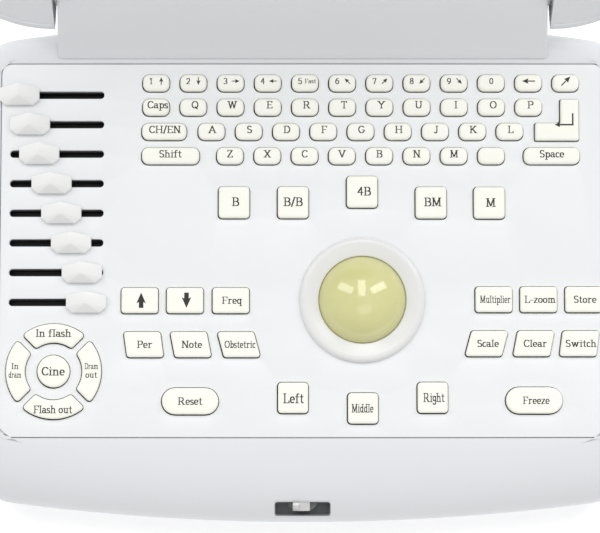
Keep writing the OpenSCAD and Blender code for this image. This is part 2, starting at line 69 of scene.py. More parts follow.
OPENING_SHIFT = Vector((-0.13, -0.13))      # the openings sit this far off their keys


def deck(u, v, w):
    """A point on the deck, in metres, from its u, v and w in millimetres."""
    return DECK_ORIGIN + (DECK_U * u + DECK_V * v + DECK_W * w) * MM


# ---------------------------------------------------------------- camera, floor and light
def add_camera():
    """A long lens, nearly square to the key panel."""
    distance = 1.2
    across = 0.3054
    target = deck(-1.3, 86.8, 0)
    lean = math.radians(5)
    aim = DECK_W * math.cos(lean) - DECK_V * math.sin(lean)
    data = bpy.data.cameras.new("camera")
    data.sensor_width = 36
    data.lens = 36 * distance / across
    data.clip_end = 10
    camera = bpy.data.objects.new("camera", data)
    bpy.context.collection.objects.link(camera)
    camera.location = target + aim * distance
    camera.rotation_euler = (-aim).to_track_quat("-Z", "Y").to_euler()
    bpy.context.scene.camera = camera


def add_softbox(name, place, target, size, power):
    """A rectangular soft light aimed at a point."""
    data = bpy.data.lights.new(name, "AREA")
    data.shape = "RECTANGLE"
    data.size, data.size_y = size
    data.energy = power
    light = bpy.data.objects.new(name, data)
    bpy.context.collection.objects.link(light)
    light.location = place
    light.rotation_euler = (Vector(target) - Vector(place)).to_track_quat("-Z", "Y").to_euler()


def add_studio():
    """White floor, bright surroundings, three tall window lights and a weak fill from the front."""
    world = bpy.data.worlds.new("studio")
    world.use_nodes = True
    back = world.node_tree.nodes["Background"]
    back.inputs["Color"].default_value = (1, 1, 1, 1)
    back.inputs["Strength"].default_value = 0.62
    bpy.context.scene.world = world
    bpy.context.scene.view_settings.view_transform = "Standard"
    middle = deck(0, 90, 0)
    windows = (("left_window", -1.1, 6), ("middle_window", 0, 6.5), ("right_window", 1.1, 7.5))
    for name, x, power in windows:
        add_softbox(name, (x, 0.62, 1.7 - abs(x) * 0.3), middle, (0.5, 1.3), power)
    add_softbox("front_fill", (0.2, -0.9, 1.5), middle, (1.0, 0.6), 1.5)
    mesh = bpy.data.meshes.new("floor")
    half = 4
    corners = [(-half, -half, 0), (half, -half, 0), (half, half, 0), (-half, half, 0)]
    mesh.from_pydata(corners, [], [(0, 1, 2, 3)])
    floor = bpy.data.objects.new("floor", mesh)
    bpy.context.collection.objects.link(floor)
    floor.data.materials.append(pale_floor())


# ---------------------------------------------------------------- materials
def srgb(code):
    """Linear colour with alpha from an sRGB hex code."""
    channels = [int(code[i:i + 2], 16) / 255 for i in (0, 2, 4)]
    return tuple(c / 12.92 if c <= 0.04045 else ((c + 0.055) / 1.055) ** 2.4 for c in channels) + (1.0,)


def add_node(material, kind, settings=None, **links):
    """Add a node, set its properties and sockets, and link named inputs to other sockets."""
    made = material.node_tree.nodes.new(kind)
    for name, value in (settings or {}).items():
        if hasattr(made, name):
            setattr(made, name, value)
        else:
            made.inputs[name].default_value = value
    for name, socket in links.items():
        material.node_tree.links.new(socket, made.inputs[name.replace("_", " ")])
    return made


def new_material(name, **sockets):
    """A material with its shader's own sockets set; returns it with the shader."""
    material = bpy.data.materials.new(name)
    material.use_nodes = True
    shader = material.node_tree.nodes["Principled BSDF"]
    for key, value in sockets.items():
        shader.inputs[key.replace("_", " ")].default_value = value
    return material, shader


def moulded(name, light, dark, grain, depth, mottle=40, **sockets):
    """A moulded surface: two close colours in slow clouds, and a fine grain as its tool leaves it.

    grain, depth and mottle are millimetres: the grain's width and height, and the width of a cloud.
    The grain is a little coarser than a real one, so that its softening of the sheen still shows.
    """
    material, shader = new_material(name, **sockets)
    links = material.node_tree.links
    place = add_node(material, "ShaderNodeTexCoord").outputs["Object"]
    clouds = add_node(material, "ShaderNodeTexNoise", {"Scale": 1000 / mottle, "Detail": 3}, Vector=place)
    mix = add_node(material, "ShaderNodeMix", {"data_type": "RGBA"})
    mix.inputs[6].default_value, mix.inputs[7].default_value = srgb(light), srgb(dark)
    links.new(clouds.outputs["Fac"], mix.inputs["Factor"])
    links.new(mix.outputs[2], shader.inputs["Base Color"])
    rough = add_node(material, "ShaderNodeMapRange", {
        "To Min": shader.inputs["Roughness"].default_value - 0.04,
        "To Max": shader.inputs["Roughness"].default_value + 0.04}, Value=clouds.outputs["Fac"])
    links.new(rough.outputs["Result"], shader.inputs["Roughness"])
    fine = add_node(material, "ShaderNodeTexNoise", {"Scale": 1000 / grain, "Detail": 2}, Vector=place)
    bump = add_node(material, "ShaderNodeBump", {"Strength": 0.35, "Distance": depth * MM},
                    Height=fine.outputs["Fac"])
    links.new(bump.outputs["Normal"], shader.inputs["Normal"])
    return material


def pale_floor():
    """Matte paper sweep, lit through from below so that it stays white."""
    return moulded("paper_sweep", "F8F8F8", "F5F5F5", 3, 0.01, Roughness=0.9,
                   Emission_Color=(1, 1, 1, 1), Emission_Strength=0.3)


def brushed(name, colour, turn, metal_rough):
    """Plated or brushed metal: fine lines along one axis vary the roughness.

    The noise has cells 1.1 mm long, and turn squeezes them along one axis into lines 0.1 to 0.2 mm apart.
    """
    cells_per_metre, depth = 900, 0.01
    material, shader = new_material(name, Metallic=1.0, Base_Color=srgb(colour))
    links = material.node_tree.links
    place = add_node(material, "ShaderNodeTexCoord").outputs["Object"]
    stretch = add_node(material, "ShaderNodeMapping", {"Scale": turn}, Vector=place)
    lines = add_node(material, "ShaderNodeTexNoise", {"Scale": cells_per_metre, "Detail": 2},
                     Vector=stretch.outputs["Vector"])
    rough = add_node(material, "ShaderNodeMapRange", {
        "To Min": metal_rough - 0.08, "To Max": metal_rough + 0.08}, Value=lines.outputs["Fac"])
    links.new(rough.outputs["Result"], shader.inputs["Roughness"])
    bump = add_node(material, "ShaderNodeBump", {"Strength": 0.2, "Distance": depth * MM},
                    Height=lines.outputs["Fac"])
    links.new(bump.outputs["Normal"], shader.inputs["Normal"])
    return material


def polished_resin():
    """Cast polyester ball: translucent yellow-green with a wet polish and faint inner clouds."""
    material = moulded("polished_polyester", "DEDCA2", "D3D190", 0.6, 0.002, mottle=14,
                       Roughness=0.12, IOR=1.56)
    shader = material.node_tree.nodes["Principled BSDF"]
    shader.inputs["Subsurface Weight"].default_value = 0.35
    shader.inputs["Subsurface Radius"].default_value = (0.9, 0.85, 0.35)
    shader.inputs["Subsurface Scale"].default_value = 0.012
    shader.inputs["Coat Weight"].default_value = 0.6
    shader.inputs["Coat Roughness"].default_value = 0.04
    return material


# injection-moulded ABS, spark-eroded: a cool white with a soft, even sheen
CASE = moulded("textured_abs", "E4E5E8", "E1E2E5", 0.45, 0.03, Roughness=0.5, IOR=1.5)
# sheet polycarbonate, satin: a little whiter and smoother than the case
PANEL = moulded("satin_polycarbonate", "EFF0F2", "ECEEF0", 0.35, 0.012, Roughness=0.42, IOR=1.58)
# key caps in moulded PBT: warm white and nearly matt, so it stands out from the panel
IVORY = moulded("moulded_pbt", "FDFDF4", "FBFBF0", 0.3, 0.012, mottle=12, Roughness=0.45, IOR=1.55)
# moulded acetal: dense white whose facets catch small lights
KNOB = moulded("smooth_acetal", "F6F6F5", "F3F3F2", 0.3, 0.006, mottle=15, Roughness=0.32, IOR=1.48)
# ABS from a polished tool: broad clear highlights on its round edge
RING = moulded("glossy_abs", "E9E9E8", "E6E6E5", 0.4, 0.006, mottle=20, Roughness=0.25, IOR=1.5)
BALL = polished_resin()
# pad-printed ink: dark brown-black, thin and dull
INK = moulded("pad_printing_ink", "25231D", "2E2B24", 0.2, 0.01, mottle=5, Roughness=0.6)
# grained ABS, a shade greyer, so that the screen stands in a quiet frame
BEZEL = moulded("grained_abs", "DCDEE1", "D8DADD", 0.5, 0.03, Roughness=0.55, IOR=1.5)
# glass-filled nylon: black with a faint bloom on its skin
BLACK = moulded("black_nylon", "0D0D0E", "121213", 0.4, 0.02, mottle=10, Roughness=0.45)
# mid grey pocket lining, darker than the case: painted shade inside the pocket
SHADE_LINING = moulded("grey_painted_shade", "77797B", "6F7173", 0.4, 0.02, mottle=10, Roughness=0.5)
# silicone rubber: near black with no gloss
RUBBER = moulded("silicone_rubber", "232325", "2B2B2D", 0.6, 0.05, mottle=10, Roughness=0.8)
# glass with a hard coat: black when off, with sharp reflections
SCREEN = moulded("hard_coated_glass", "101214", "0C0E10", 1.0, 0.001, Roughness=0.12, IOR=1.52)
# solder mask over copper: dark green with a thin gloss, darkened towards olive so that, seen through the gaps
# round the keys, it also paints their shade
BOARD = moulded("solder_mask", "1C2A1A", "18241A", 0.8, 0.02, mottle=8, Roughness=0.35)
# heat-shrink film: glossy black that follows the cells
WRAP = moulded("shrink_wrap", "141518", "1B1C20", 1.5, 0.05, mottle=12, Roughness=0.3)
# powder coat on sheet steel: fine orange peel
GREY_COAT = moulded("powder_coat", "8C9094", "85898D", 0.5, 0.05, mottle=15, Roughness=0.5)
# zinc-plated steel: bright, with faint drawn lines
STEEL = brushed("plated_steel", "B9B9BA", (1, 12, 1), 0.28)
# nickel plate: a warmer grey mirror, slightly blurred
NICKEL = brushed("nickel_plate", "C4C0B8", (1, 1, 12), 0.22)
# blasted zinc casting: pale and silky
CATCH = brushed("sandblasted_zinc", "D0D0CE", (6, 1, 1), 0.4)


# ---------------------------------------------------------------- outlines, in millimetres
def corner_arc(before, corner, after, radius, steps):
    """Points of the arc that rounds one corner of an outline."""
    back, ahead = (before - corner).normalized(), (after - corner).normalized()
    half = math.acos(max(-1, min(1, back.dot(ahead)))) / 2
    middle = corner + (back + ahead).normalized() * radius / math.sin(half)
    reach = radius / math.tan(half)
    first, last = corner + back * reach - middle, corner + ahead * reach - middle
    start = math.atan2(first.y, first.x)
    turn = (math.atan2(last.y, last.x) - start + math.pi) % (2 * math.pi) - math.pi
    return [middle + Vector((math.cos(start + turn * i / steps), math.sin(start + turn * i / steps))) * radius
            for i in range(steps + 1)]


def grown(points, grow):
    """The outline with every side moved out by grow, keeping its corners sharp."""
    moved = []
    for i, point in enumerate(points):
        before, after = points[i - 1], points[(i + 1) % len(points)]
        ways = [(point - before).normalized(), (after - point).normalized()]
        outs = [Vector((way.y, -way.x)) * grow for way in ways]
        hit = crossing(before + outs[0], point + outs[0], point + outs[1], after + outs[1])
        moved.append(hit)
    return moved


def crossing(a, b, c, d):
    """Where two endless lines cross."""
    first, second = b - a, d - c
    cross = first.x * second.y - first.y * second.x
    t = ((c - a).x * second.y - (c - a).y * second.x) / cross
    return a + first * t


def rounded(points, radius, steps=5):
    """The outline with all its corners rounded."""
    count = len(points)
    return [spot for i in range(count)
            for spot in corner_arc(points[i - 1], points[i], points[(i + 1) % count], radius, steps)]


def polygon_outline(corners, radius, steps=5):
    """A function of growth for a rounded polygon with counter-clockwise corners."""
    corners = [Vector(corner) for corner in corners]
    least = 0.25
    return lambda grow: rounded(grown(corners, grow), max(radius + grow, least), steps)


def box_outline(u, v, width, depth, radius, skew=0):
    """A rounded rectangle; skew slides its near side to the right of its far side."""
    w, d, s = width / 2, depth / 2, skew / 2
    corners = [(u - w + s, v - d), (u + w + s, v - d), (u + w - s, v + d), (u - w - s, v + d)]
    return polygon_outline(corners, radius)


def disc_outline(u, v, radius, count=64):
    """A circle as a function of growth."""
    angles = [2 * math.pi * i / count for i in range(count)]
    return lambda grow: [Vector((u + (radius + grow) * math.cos(a), v + (radius + grow) * math.sin(a)))
                         for a in angles]


def quarter_outline(turn, inner=14.2, outer=24.5, gap=3.0, steps=14):
    """A quarter of the ring of keys, with its ends parallel to the diagonals."""
    def outline(grow):
        half = gap / 2 - grow
        far, near = outer + grow, inner - grow
        wide = [math.pi / 4 - math.asin(half / r) for r in (far, near)]
        arc_out = [(far, wide[0] * (2 * i / steps - 1)) for i in range(steps + 1)]
        arc_in = [(near, wide[1] * (1 - 2 * i / steps)) for i in range(steps + 1)]
        points = [Vector((RING_U + r * math.cos(a + turn), RING_V + r * math.sin(a + turn)))
                  for r, a in arc_out + arc_in]
        corners = (0, steps, steps + 1, 2 * steps + 1)
        radius = max(1.9 + grow, 0.2)
        shape = []
        for i, point in enumerate(points):
            ahead = points[(i + 1) % len(points)]
            shape += corner_arc(points[i - 1], point, ahead, radius, 4) if i in corners else [point]
        return shape
    return outline


# ---------------------------------------------------------------- mesh helpers
def add_ring(mesh, points):
    """Put a closed ring of points into the mesh."""
    return [mesh.verts.new(point) for point in points]


def join_rings(mesh, first, second):
    """A strip of quads between two rings with the same number of points."""
    count = len(first)
    for i in range(count):
        after = (i + 1) % count
        mesh.faces.new((first[i], first[after], second[after], second[i]))


def loft(mesh, rings, close=False):
    """Strips between rings in order; close joins the last ring to the first."""
    made = [add_ring(mesh, ring) for ring in rings]
    for first, second in zip(made, made[1:] + (made[:1] if close else [])):
        join_rings(mesh, first, second)
    return made


def ring_edges(mesh, ring):
    """The edges of a ring, made where they don't exist yet."""
    edges = []
    for i, vert in enumerate(ring):
        pair = (vert, ring[(i + 1) % len(ring)])
        edges.append(mesh.edges.get(pair) or mesh.edges.new(pair))
    return edges


def fill_between(mesh, rings):
    """Fill a flat region bounded by an outer ring and any number of holes."""
    edges = [edge for ring in rings for edge in ring_edges(mesh, ring)]
    bmesh.ops.triangle_fill(mesh, use_beauty=True, edges=edges, normal=DECK_W)


def finish(mesh, name, material, smooth=40):
    """Turn the mesh into an object with smooth shading below an angle."""
    bmesh.ops.recalc_face_normals(mesh, faces=mesh.faces)
    for face in mesh.faces:
        face.smooth = True
    for edge in mesh.edges:
        if edge.is_manifold and edge.calc_face_angle(0) > math.radians(smooth):
            edge.smooth = False
    data = bpy.data.meshes.new(name)
    mesh.to_mesh(data)
    mesh.free()
    data.materials.append(material)
    made = bpy.data.objects.new(name, data)
    bpy.context.collection.objects.link(made)
    return made


def on_deck(points, w):
    """Lift flat outline points onto the deck at height w."""
    return [deck(point.x, point.y, w) for point in points]


def rings_of(outline, profile):
    """Deck rings from an outline function and a profile of (growth, height) pairs."""
    return [on_deck(outline(grow), w) for grow, w in profile]


def fillet(grow, height, radius, inward=True, steps=4):
    """Profile of a quarter round between a side face at grow and a top face at height."""
    sign = -1 if inward else 1
    return [(grow + sign * radius * (1 - math.cos(a)), height - radius * (1 - math.sin(a)))
            for a in (math.pi / 2 * i / steps for i in range(steps + 1))]


# ---------------------------------------------------------------- base
def plan_ring(front, half, rear, front_round, rear_round, front_corner, rear_corner):
    """Outline with a bowed front and rear edge, straight sides and tangent round corners."""
    corner_steps, edge_steps = 10, 20
    front_middle, rear_middle = front + front_round, rear - rear_round
    points = []

    def corner(middle, bow, side, radius, ahead):
        reach = math.sqrt((bow - radius) ** 2 - (half - radius) ** 2)
        centre = Vector((side * (half - radius), middle - reach if ahead else middle + reach))
        lean = math.atan2(half - radius, reach)
        first, last = (lean - math.pi / 2, 0) if ahead else (0, math.pi / 2 - lean)
        spots = []
        for i in range(corner_steps + 1):
            angle = first + (last - first) * i / corner_steps
            spots.append(centre + Vector((side * math.cos(angle), math.sin(angle))) * radius)
        return spots, lean

    right_front, lean = corner(front_middle, front_round, 1, front_corner, True)
    right_rear, rear_lean = corner(rear_middle, rear_round, 1, rear_corner, False)
    for i in range(1, edge_steps):
        angle = -lean + 2 * lean * i / edge_steps - math.pi / 2
        points.append(Vector((math.cos(angle), math.sin(angle))) * front_round + Vector((0, front_middle)))
    points += right_front + right_rear
    for i in range(1, edge_steps):
        angle = math.pi / 2 - rear_lean + 2 * rear_lean * i / edge_steps
        points.append(Vector((math.cos(angle), math.sin(angle))) * rear_round + Vector((0, rear_middle)))
    for spots in (right_rear, right_front):
        points += [Vector((-spot.x, spot.y)) for spot in reversed(spots)]
    return points


BASE_HALF = 171
FRONT_BOW, REAR_BOW = 1145, 1050
LIP_ROLL, SIDE_ROLL = 31, 11
WALL = 2.8
SKIN_IN = 0.08          # keeps this finer outline inside the solid part's
STRAIGHT = 1e5          # a bow so wide that an edge is straight
GROOVE = 0.35           # between the surround and the key panel
PANEL_ROUND = 5
SHELF_IN, SHELF_LOW = 3.2, -6
POCKET_V, POCKET_SIZE, POCKET_FLOOR = -36, (28.4, 7, 1.6), -15


def base_plan(front_in, side_in, rear_in, corner=26):
    """The base's outline, drawn in by separate amounts at the front, sides and rear."""
    return plan_ring(-LIP + SKIN_IN + front_in, BASE_HALF - SKIN_IN - side_in, REAR - SKIN_IN - rear_in,
                     FRONT_BOW, REAR_BOW, corner, corner)


def panel_frame(margin, radius):
    """The key panel's rectangle, grown by margin, with as many points as the base's outline."""
    return plan_ring(-margin, PANEL_W / 2 + margin, PANEL_D + margin, STRAIGHT, STRAIGHT, radius, radius)


def cut(made, cutter):
    """Take the cutter's shape out of a piece and throw the cutter away."""
    modifier = made.modifiers.new("cut", "BOOLEAN")
    modifier.operation, modifier.solver, modifier.object = "DIFFERENCE", "EXACT", cutter
    graph = bpy.context.evaluated_depsgraph_get()
    result = bpy.data.meshes.new_from_object(made.evaluated_get(graph))
    made.modifiers.remove(modifier)
    result.name = made.data.name + "_cut"
    made.data = result
    bpy.data.objects.remove(cutter)
    return made


def block(name, outline, low, high):
    """A closed prism over an outline, used as a cutter."""
    mesh = bmesh.new()
    for ring in loft(mesh, [on_deck(outline, low), on_deck(outline, high)]):
        mesh.faces.new(ring)
    return finish(mesh, name, CASE)


def make_top_cover():
    """Upper case half: rolled lip, flat surround and the shelf that the key panel rests on."""
    mesh = bmesh.new()
    rings = [on_deck(base_plan(0.5, 0.5, 0.5), SPLIT), on_deck(base_plan(0, 0, 0), SPLIT + 0.5)]
    steps = 14
    for i in range(1, steps + 1):
        s = math.sin(math.pi / 2 * i / steps)
        depth = 1 - math.sqrt(max(0.0, 1 - s * s))
        side = SIDE_ROLL * depth
        rings.append(on_deck(base_plan(LIP_ROLL * depth, side, side), SPLIT * (1 - s)))
    rim = reversed(fillet(0, 0, 0.6, inward=False))
    rings += [on_deck(panel_frame(GROOVE + grow, PANEL_ROUND), w) for grow, w in rim]
    rings.append(on_deck(panel_frame(GROOVE, PANEL_ROUND), -PANEL_T))
    rings.append(on_deck(panel_frame(-SHELF_IN, 3), -PANEL_T))
    rings.append(on_deck(panel_frame(-SHELF_IN, 3), SHELF_LOW))
    rings.append(on_deck(panel_frame(4, 6), SHELF_LOW))
    rings.append(on_deck(base_plan(WALL + 1.5, WALL, WALL), SPLIT + 4))
    rings.append(on_deck(base_plan(WALL, WALL, WALL), SPLIT))
    loft(mesh, rings, close=True)
    cover = finish(mesh, "top_cover_shell", CASE, smooth=50)
    pocket = box_outline(0, POCKET_V, *POCKET_SIZE)
    cut(cover, block("pocket_cutter", pocket(0), POCKET_FLOOR, 6))
    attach(cover, "base")
    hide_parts("top_cover")


def half_disc():
    """Outline of the half-round boss on the far wall of the pocket."""
    wide, deep, far, steps = 7.4, 4.9, -32.6, 20
    angles = [math.pi * i / steps for i in range(steps + 1)]
    return [Vector((wide * math.cos(a), far - deep * math.sin(a))) for a in angles]


def make_latch_pocket():
    """Grey lining of the front pocket, which paints the shade inside it, with a half-round boss under the
    catch.
    """
    mesh = bmesh.new()
    outline = box_outline(0, POCKET_V, *POCKET_SIZE)
    wall, brim = 0.6, -9
    section = [(0, brim), (0, POCKET_FLOOR), (-wall, POCKET_FLOOR), (-wall, brim - 0.5)]
    loft(mesh, rings_of(outline, section), close=True)
    mesh.faces.new(add_ring(mesh, on_deck(outline(-wall), POCKET_FLOOR + 0.4)))
    boss = half_disc()
    for ring in loft(mesh, [on_deck(boss, brim - 2), on_deck(boss, brim)]):
        mesh.faces.new(ring)
    # painted shade: the grey lining darkens the pocket beyond what its depth gives
    lining = finish(mesh, "latch_pocket_shade_lining", SHADE_LINING)
    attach(lining, "base")


# ---------------------------------------------------------------- keys
PITCH, ROW_PITCH = 19.05, 12.53
FIRST_U, FIRST_V = -74.9, 181
KEY_SIZE = (14.2, 9.2, 3.6)
MODE_SIZE, CLICK_SIZE = (16.4, 16.8, 2.2), (16, 16.2, 2.2)
BLOCK_SIZE, PILL_SIZE = (19.3, 13.6, 1.8), (29.4, 14.1, 7)
ENTER = [(118.5, 151), (141.5, 151), (141.5, 172.8), (131.5, 172.8), (131.5, 160.6), (118.5, 160.6)]


def plain(spots, size):
    """Keys of one size: each is its outline with the place and the words on it."""
    return [(box_outline(u, v, *size), u, v, words) for u, v, words in spots]


def slanted(spots):
    """Keys whose ends lean, from their places, their slant and the words on them."""
    return [(box_outline(u, v, *BLOCK_SIZE, skew=skew), u, v, words) for u, v, skew, words in spots]


def key_row(row, start, labels):
    """Places of the keys in one keyboard row, with their labels."""
    return [(start + i * PITCH, FIRST_V - row * ROW_PITCH, label) for i, label in enumerate(labels)]


def wide_key(u, row, width, label):
    """A keyboard key wider than the rest."""
    return plain([(u, FIRST_V - row * ROW_PITCH, label)], (width,) + KEY_SIZE[1:])


def quarter_key(turn, words):
    """One of the four keys of the ring, with the place of its words."""
    reach = 19.3
    return [(quarter_outline(turn), RING_U + reach * math.cos(turn), RING_V + reach * math.sin(turn), words)]


HALF_TURN = math.pi
# Words on a key: a caret starts the name of its arrow, and a semicolon starts a second line.
NUMBER_ROW = ["1^up", "2^down", "3^right", "4^left", "5", "6^up_left", "7^up_right", "8^down_left",
              "9^down_right", "0", "^wide_left", "^wide_up_right"]
KEYS = {
    "number_row_keys": plain(key_row(0, FIRST_U, NUMBER_ROW), KEY_SIZE),
    "upper_row_keys": plain(key_row(1, FIRST_U, ["Caps"] + list("QWERTYUIOP")), KEY_SIZE),
    "home_row_keys": wide_key(-70.65, 2, 23.4, "CH/EN") + plain(key_row(2, -46.5, "ASDFGHJKL"), KEY_SIZE),
    "lower_row_keys": wide_key(-67.35, 3, 30, "Shift") + plain(key_row(3, -37, "ZXCVBNM "), KEY_SIZE)
    + wide_key(127.25, 3, 29.2, "Space"),
    "enter_key": [(polygon_outline(ENTER, 1.2), 130, 157, "^enter")],
    "b_mode_key": plain([(-34.9, 119.5, "B")], MODE_SIZE),
    "double_b_key": plain([(-4.8, 119.5, "B/B")], MODE_SIZE),
    "four_b_key": plain([(30.4, 124.9, "4B")], MODE_SIZE),
    "bm_mode_key": plain([(65.5, 119.4, "BM")], MODE_SIZE),
    "m_mode_key": plain([(95.2, 119.3, "M")], MODE_SIZE),
    "left_upper_keys": plain([(-82.7, 69.4, "^bold_up"), (-59.7, 69.4, "^bold_down"), (-36.4, 69.4, "Freq")],
                             BLOCK_SIZE),
    "left_lower_keys": slanted([(-80.6, 47, 1.9, "Per"), (-56.7, 47, 2.7, "Note"),
                                (-32.3, 47, 3.7, "Obstetric")]),
    "right_upper_keys": plain([(97.2, 69.9, "Multiplier"), (119.9, 69.9, "L-zoom"), (142.8, 69.9, "Store")],
                              BLOCK_SIZE),
    "right_lower_keys": slanted([(93.4, 47.5, -3.7, "Scale"), (117.3, 47.5, -2.7, "Clear"),
                                 (140.5, 47.5, -1.9, "Switch")]),
    "reset_key": plain([(-56.9, 18.3, "Reset")], PILL_SIZE),
    "freeze_key": plain([(117.3, 18.7, "Freeze")], PILL_SIZE),
    "left_click_key": plain([(-4.8, 20, "Left")], CLICK_SIZE),
    "middle_click_key": plain([(30.6, 14.7, "Middle")], CLICK_SIZE),
    "right_click_key": plain([(65.9, 20.1, "Right")], CLICK_SIZE),
    "ring_top_key": quarter_key(HALF_TURN / 2, "In flash"),
    "ring_right_key": quarter_key(0, "Dram;out"),
    "ring_bottom_key": quarter_key(-HALF_TURN / 2, "Flash out"),
    "ring_left_key": quarter_key(HALF_TURN, "In;dram"),
    "ring_centre_key": [(disc_outline(RING_U, RING_V, 8.5), RING_U, RING_V, "Cine")],
}
KEY_TOP = 2.4


def make_key_panel():
    """Panel plate with an eased opening for each key, slide and the trackball."""
    mesh = bmesh.new()
    ease = 0.35
    outer = [on_deck(panel_frame(grow, PANEL_ROUND), w) for grow, w in fillet(0, 0, 0.5)]
    outer.append(on_deck(panel_frame(0, PANEL_ROUND), -PANEL_T))
    edge = loft(mesh, [outer[-1]] + outer[:-1])
    top, bottom = [edge[-1]], [edge[0]]
    openings = [(outline, KEY_GAP) for keys in KEYS.values() for outline, *_ in keys]
    openings += [(box_outline(SLOT_U, SLOT_V - SLOT_PITCH * i, 48, 3.8, 1.85), 0) for i in range(SLOTS)]
    openings.append((disc_outline(BALL_U, BALL_V, 29, 96), 0))
    for outline, gap in openings:
        profile = [(gap, -PANEL_T)] + fillet(gap, 0, ease, inward=False, steps=3)
        shift = OPENING_SHIFT if gap else Vector((0, 0))
        rings = loft(mesh, [on_deck([point + shift for point in outline(grow)], w) for grow, w in profile])
        bottom.append(rings[0])
        top.append(rings[-1])
    fill_between(mesh, top)
    fill_between(mesh, bottom)
    plate = finish(mesh, "key_panel_plate", PANEL, smooth=50)
    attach(plate, "base")
    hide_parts("key_panel")


def cap_profile(inward, drop, steps=7):
    """Side and elliptical shoulder of a key, up to its flat top."""
    under = -4.8
    side = KEY_TOP - drop
    shoulder = [(-inward * (1 - math.cos(a)), side + drop * math.sin(a)) for a in
                (math.pi / 2 * i / steps for i in range(steps + 1))]
    return [(-1.2, under), (0, under)] + shoulder


def make_keys(node, keys):
    """All caps of one node as one piece."""
    mesh = bmesh.new()
    profile = cap_profile(1.7, 1.2) if node.endswith("row_keys") else cap_profile(1.4, 1.0)
    for outline, *_ in keys:
        rings = loft(mesh, rings_of(outline, [(grow - CAP_IN, w) for grow, w in profile]))
        for ring in (rings[0], rings[-1]):
            mesh.faces.new(ring)
    caps = finish(mesh, node + "_caps", IVORY, smooth=60)
    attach(caps, node)
    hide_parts(node)


# ---------------------------------------------------------------- slides
def make_knob(number):
    """Faceted slide knob: a ridge across the slot, two sloping wings and a bevelled nose."""
    node = "slider_knob_%d" % number
    low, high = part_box(node)
    centre = (Vector(low) + Vector(high)) / 2
    u = centre.x / MM
    v = SLOT_V - SLOT_PITCH * (number - 1)
    half, deep = 10.3, 5.35
    foot, shelf, ridge = 0.8, 2.6, 8.6
    mesh = bmesh.new()

    def add(x, y, w):
        return mesh.verts.new(deck(u + x, v + y, w))

    near, side, far = 3.2, -deep + 2.6, deep - 1.9
    plan = ((-half + near, -deep), (half - near, -deep), (half, side), (half, far), (0, deep), (-half, far),
            (-half, side))
    base = [add(x, y, foot) for x, y in plan]
    edge = [add(x * 0.985, y * 0.98, shelf) for x, y in plan]
    nose, tail = add(0, -0.9, ridge - 0.3), add(0, deep - 0.3, ridge)
    join_rings(mesh, base, edge)
    mesh.faces.new(base)
    for facet in ((edge[0], edge[1], nose), (edge[1], edge[2], nose), (edge[2], edge[3], tail, nose),
                  (edge[3], edge[4], tail), (edge[4], edge[5], tail), (edge[5], edge[6], nose, tail),
                  (edge[6], edge[0], nose)):
        mesh.faces.new(facet)
    bmesh.ops.recalc_face_normals(mesh, faces=mesh.faces)
    bmesh.ops.bevel(mesh, geom=mesh.edges[:] + mesh.verts[:], offset=0.35 * MM, segments=3, profile=0.5,
                    affect="EDGES")
    lever = rings_of(box_outline(u, v, 4, 1.4, 0.3), [(0, foot + 0.2), (0, -8)])
    for ring in loft(mesh, lever):
        mesh.faces.new(ring)
    knob = finish(mesh, node + "_cap", KNOB, smooth=55)
    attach(knob, node)
    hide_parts(node)


# ---------------------------------------------------------------- trackball
def make_trackball():
    """The ball as a fine sphere built from its own rings."""
    mesh = bmesh.new()
    rings, around = 48, 96
    rows = []
    for i in range(1, rings):
        tilt = math.pi * i / rings
        radius, w = BALL_R * math.sin(tilt), -BALL_SINK + BALL_R * math.cos(tilt)
        rows.append(on_deck(disc_outline(BALL_U, BALL_V, radius, around)(0), w))
    made = loft(mesh, rows)
    for ring, w in ((made[0], BALL_R), (made[-1], -BALL_R)):
        pole = mesh.verts.new(deck(BALL_U, BALL_V, -BALL_SINK + w))
        for i, vert in enumerate(ring):
            mesh.faces.new((vert, ring[(i + 1) % around], pole))
    ball = finish(mesh, "trackball_sphere", BALL, smooth=80)
    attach(ball, "trackball")
    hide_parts("trackball")


def make_trackball_ring():
    """Raised ring with a full round outer edge and a shallow dish towards the ball."""
    mesh = bmesh.new()
    circle = disc_outline(BALL_U, BALL_V, 0, 128)
    throat = [(25.6, -3), (23.5, -1), (22.9, 0), (22.35, 0.7), (22.3, 0.95), (22.45, 1.2)]
    dish = [(23.1, 1.38), (25, 1.95), (27.4, 2.62), (28.6, 2.85), (29.6, 2.9)]
    edge = [(30.5, 2.72), (31.3, 2.2), (31.8, 1.5), (32, 0.8), (32, 0.05), (28.8, 0.05), (28.8, -3)]
    profile = throat + dish + edge
    loft(mesh, rings_of(circle, profile), close=True)
    ring = finish(mesh, "trackball_bezel", RING, smooth=50)
    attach(ring, "base")
    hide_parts("trackball_ring")


